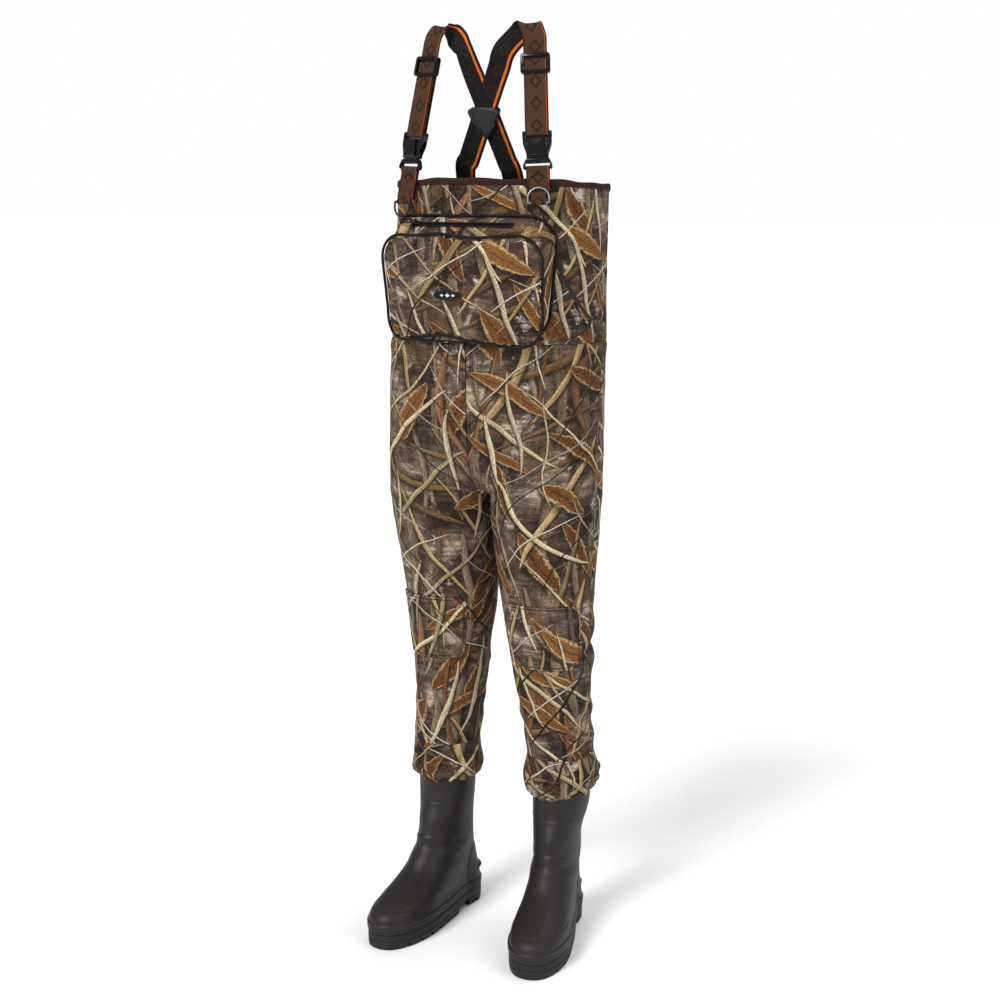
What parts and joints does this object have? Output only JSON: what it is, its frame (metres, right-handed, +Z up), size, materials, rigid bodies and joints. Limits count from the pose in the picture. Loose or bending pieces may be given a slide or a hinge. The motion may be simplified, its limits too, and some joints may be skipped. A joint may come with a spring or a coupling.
{
  "type": "chest waders",
  "caption": "Neoprene chest waders with bonded rubber boots, crossed suspenders on release buckles, D-rings and a zipped chest pouch, printed in reed camouflage.",
  "frame": {"origin": "on the floor under the middle of the bounding box", "axes": "+Z up; the wearer faces -Y and their left is +X"},
  "size_m": [0.4014, 0.3239, 1.6662],
  "materials": {
    "camo_neoprene": "printed reed camouflage",
    "hem_tape": "matt",
    "webbing": "woven elastic, brown face and black back",
    "black_cloth": "matt",
    "boot_rubber": "satin",
    "black_plastic": "satin",
    "steel": "satin"
  },
  "bodies": {
    "waders": {"bib_back_panel": "camo_neoprene", "bib_front_panel": "camo_neoprene", "hand_warmer_panel": "camo_neoprene", "hem_binding": "hem_tape", "joiner_back_plate": "black_plastic", "joiner_front_plate": "black_plastic", "left_boot_upper": "boot_rubber", "left_buckle_plug": "black_plastic", "left_cuff": "camo_neoprene", "left_insole": "black_cloth", "left_knee_patch": "camo_neoprene", "left_leg_back_panel": "camo_neoprene", "left_leg_front_panel": "camo_neoprene", "left_outsole": "boot_rubber", "left_ring_keeper": "webbing", "left_strap": "webbing", "left_strap_tab": "webbing", "pouch_back_piping": "black_cloth", "pouch_badge": "black_plastic", "pouch_front_panel": "camo_neoprene", "pouch_front_piping": "black_cloth", "pouch_gusset": "camo_neoprene", "right_boot_upper": "boot_rubber", "right_buckle_plug": "black_plastic", "right_cuff": "camo_neoprene", "right_insole": "black_cloth", "right_knee_patch": "camo_neoprene", "right_leg_back_panel": "camo_neoprene", "right_leg_front_panel": "camo_neoprene", "right_outsole": "boot_rubber", "right_ring_keeper": "webbing", "right_strap": "webbing", "right_strap_tab": "webbing", "zip_coil": "black_plastic", "zip_tape": "black_cloth"},
    "left_release": {"left_buckle_socket": "black_plastic", "left_strap_loop": "webbing"},
    "left_buckle_left_prong": {"left_buckle_left_prong": "black_plastic"},
    "left_buckle_right_prong": {"left_buckle_right_prong": "black_plastic"},
    "left_adjuster": {"left_adjuster": "black_plastic"},
    "left_d_ring": {"left_d_ring": "steel"},
    "right_release": {"right_buckle_socket": "black_plastic", "right_strap_loop": "webbing"},
    "right_buckle_left_prong": {"right_buckle_left_prong": "black_plastic"},
    "right_buckle_right_prong": {"right_buckle_right_prong": "black_plastic"},
    "right_adjuster": {"right_adjuster": "black_plastic"},
    "right_d_ring": {"right_d_ring": "steel"},
    "zip_slider": {"zip_slider": "steel"},
    "zip_pull": {"zip_pull": "steel"}
  },
  "joints": [
    {"name": "left_buckle_release", "type": "slide", "parent": "waders", "child": "left_release", "axis": [-0.1111, 0.1949, 0.9745], "range_m": [0, 0.03]},
    {"name": "left_buckle_left_squeeze", "type": "hinge", "parent": "waders", "child": "left_buckle_left_prong", "pos_m": [0.13318, -0.04705, 1.43759], "axis": [0.3087, -0.9253, 0.2203], "range_deg": [0, 9], "stiffness_Nm_per_rad": 0.12},
    {"name": "left_buckle_right_squeeze", "type": "hinge", "parent": "waders", "child": "left_buckle_right_prong", "pos_m": [0.1039, -0.05714, 1.43627], "axis": [-0.3087, 0.9253, -0.2203], "range_deg": [0, 9], "stiffness_Nm_per_rad": 0.12},
    {"name": "left_adjuster_slide", "type": "slide", "parent": "waders", "child": "left_adjuster", "axis": [-0.1111, 0.1949, 0.9745], "range_m": [-0.045, 0.012]},
    {"name": "left_d_ring_swing", "type": "hinge", "parent": "waders", "child": "left_d_ring", "pos_m": [0.12857, -0.07146, 1.36242], "axis": [0.9447, 0.3253, 0.0426], "range_deg": [0, 190]},
    {"name": "right_buckle_release", "type": "slide", "parent": "waders", "child": "right_release", "axis": [0.1111, 0.1949, 0.9745], "range_m": [0, 0.03]},
    {"name": "right_buckle_left_squeeze", "type": "hinge", "parent": "waders", "child": "right_buckle_left_prong", "pos_m": [-0.1039, -0.05714, 1.43627], "axis": [-0.3087, -0.9253, 0.2203], "range_deg": [0, 9], "stiffness_Nm_per_rad": 0.12},
    {"name": "right_buckle_right_squeeze", "type": "hinge", "parent": "waders", "child": "right_buckle_right_prong", "pos_m": [-0.13318, -0.04705, 1.43759], "axis": [0.3087, 0.9253, -0.2203], "range_deg": [0, 9], "stiffness_Nm_per_rad": 0.12},
    {"name": "right_adjuster_slide", "type": "slide", "parent": "waders", "child": "right_adjuster", "axis": [0.1111, 0.1949, 0.9745], "range_m": [-0.045, 0.012]},
    {"name": "right_d_ring_swing", "type": "hinge", "parent": "waders", "child": "right_d_ring", "pos_m": [-0.12857, -0.07146, 1.36242], "axis": [0.9447, -0.3253, -0.0426], "range_deg": [-187, 0]},
    {"name": "zip_run", "type": "slide", "parent": "waders", "child": "zip_slider", "axis": [1, 0, 0], "range_m": [0, 0.17]},
    {"name": "zip_pull_swing", "type": "hinge", "parent": "zip_slider", "child": "zip_pull", "pos_m": [-0.085, -0.10556, 1.33068], "axis": [0, 0.809, 0.5878], "range_deg": [0, 175]}
  ],
  "couplings": [
    {"joint": "left_buckle_right_squeeze", "follows": "left_buckle_left_squeeze", "ratio": 1},
    {"joint": "right_buckle_right_squeeze", "follows": "right_buckle_left_squeeze", "ratio": 1}
  ]
}
